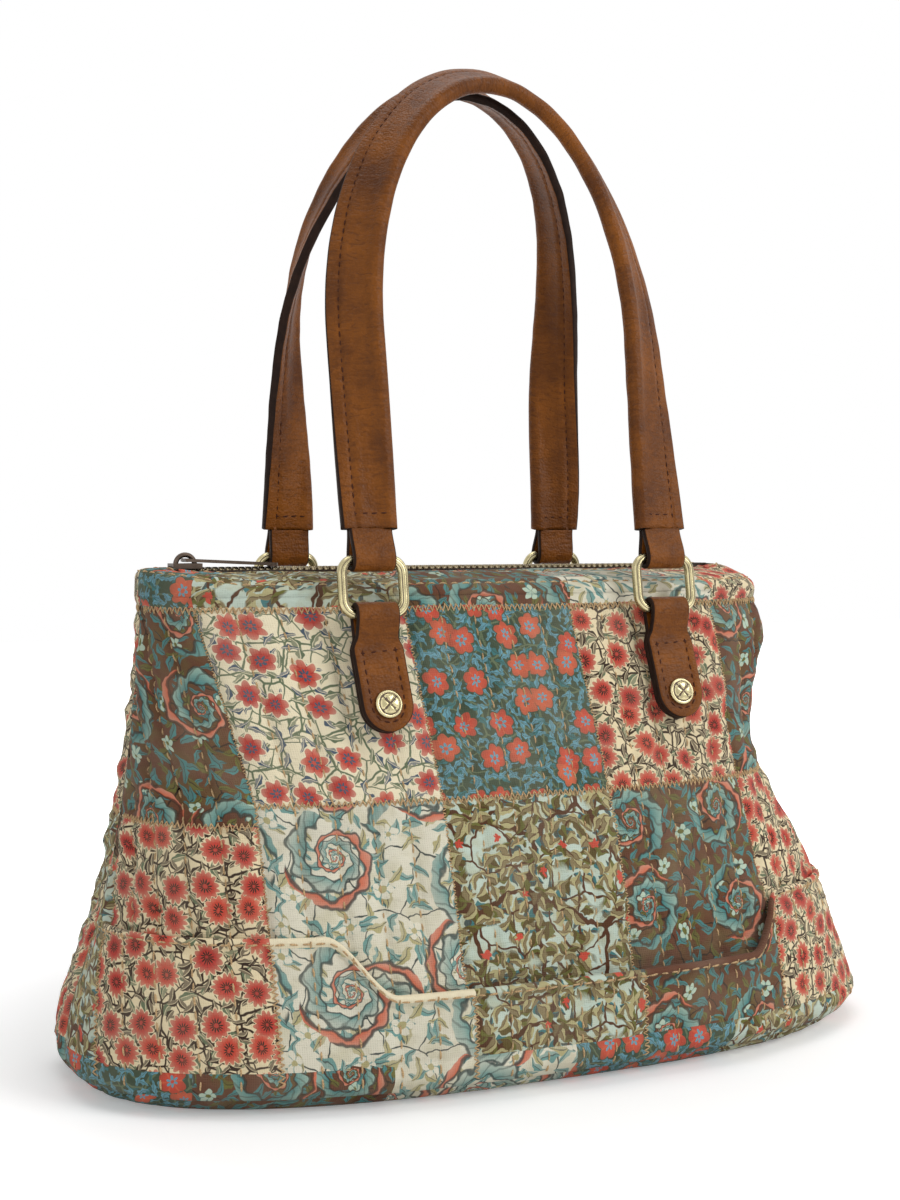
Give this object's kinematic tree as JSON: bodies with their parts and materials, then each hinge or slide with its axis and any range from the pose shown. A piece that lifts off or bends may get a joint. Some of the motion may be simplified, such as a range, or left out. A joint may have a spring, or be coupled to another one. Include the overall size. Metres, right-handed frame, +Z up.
{
  "type": "zip-top handbag",
  "caption": "Soft quilted patchwork handbag that flares to its base, with a zip mouth, a front slip pocket and twisted leather handles that swing on metal rings.",
  "frame": {"origin": "middle of the part's box, on the floor", "axes": "+X to the right seen from the front, -Y out of the front pocket, +Z up to the handles"},
  "size_m": [0.3902, 0.1965, 0.4439],
  "materials": {
    "patchwork": "quilted printed cotton",
    "facing": "quilted printed cotton",
    "lining": "plain woven cotton",
    "zip_tape": "woven tape",
    "zip_metal": "antique brass",
    "leather": "waxed full grain, dark edges",
    "pale_brass": "polished pale brass"
  },
  "bodies": {
    "bag": {"front_panel": "patchwork", "back_panel": "patchwork", "base_panel": "patchwork", "front_pocket": "patchwork", "lining": "lining", "zip_facing_front": "facing", "zip_facing_back": "facing", "zip_tape_front": "zip_tape", "zip_tape_back": "zip_tape", "zip_teeth_front": "zip_metal", "zip_teeth_back": "zip_metal", "zip_stops": "zip_metal", "tab_front_left": "leather", "tab_front_right": "leather", "tab_back_left": "leather", "tab_back_right": "leather", "rivet_front_left": "pale_brass", "rivet_front_right": "pale_brass", "rivet_back_left": "pale_brass", "rivet_back_right": "pale_brass"},
    "zip_slider": {"zip_slider": "zip_metal"},
    "zip_pull": {"zip_pull": "zip_metal"},
    "front_rings": {"ring_front_left": "pale_brass", "ring_front_right": "pale_brass"},
    "back_rings": {"ring_back_left": "pale_brass", "ring_back_right": "pale_brass"},
    "front_handle": {"handle_front": "leather", "loop_front_left": "leather", "loop_front_right": "leather"},
    "back_handle": {"handle_back": "leather", "loop_back_left": "leather", "loop_back_right": "leather"}
  },
  "joints": [
    {"name": "zip_slide", "type": "slide", "parent": "bag", "child": "zip_slider", "axis": [1, 0, 0], "range_m": [0, 0.244]},
    {"name": "pull_flip", "type": "hinge", "parent": "zip_slider", "child": "zip_pull", "pos_m": [-0.1392, 0, 0.22116], "axis": [0, -1, 0], "range_deg": [0, 165]},
    {"name": "front_ring_swing", "type": "hinge", "parent": "bag", "child": "front_rings", "pos_m": [-0.003, -0.05628, 0.199], "axis": [1, 0, 0], "range_deg": [0, 80]},
    {"name": "front_handle_swing", "type": "hinge", "parent": "front_rings", "child": "front_handle", "pos_m": [-0.003, -0.05268, 0.22172], "axis": [1, 0, 0], "range_deg": [0, 65]},
    {"name": "back_ring_swing", "type": "hinge", "parent": "bag", "child": "back_rings", "pos_m": [-0.003, 0.05628, 0.199], "axis": [-1, 0, 0], "range_deg": [0, 80]},
    {"name": "back_handle_swing", "type": "hinge", "parent": "back_rings", "child": "back_handle", "pos_m": [-0.003, 0.05268, 0.22172], "axis": [-1, 0, 0], "range_deg": [0, 65]}
  ]
}
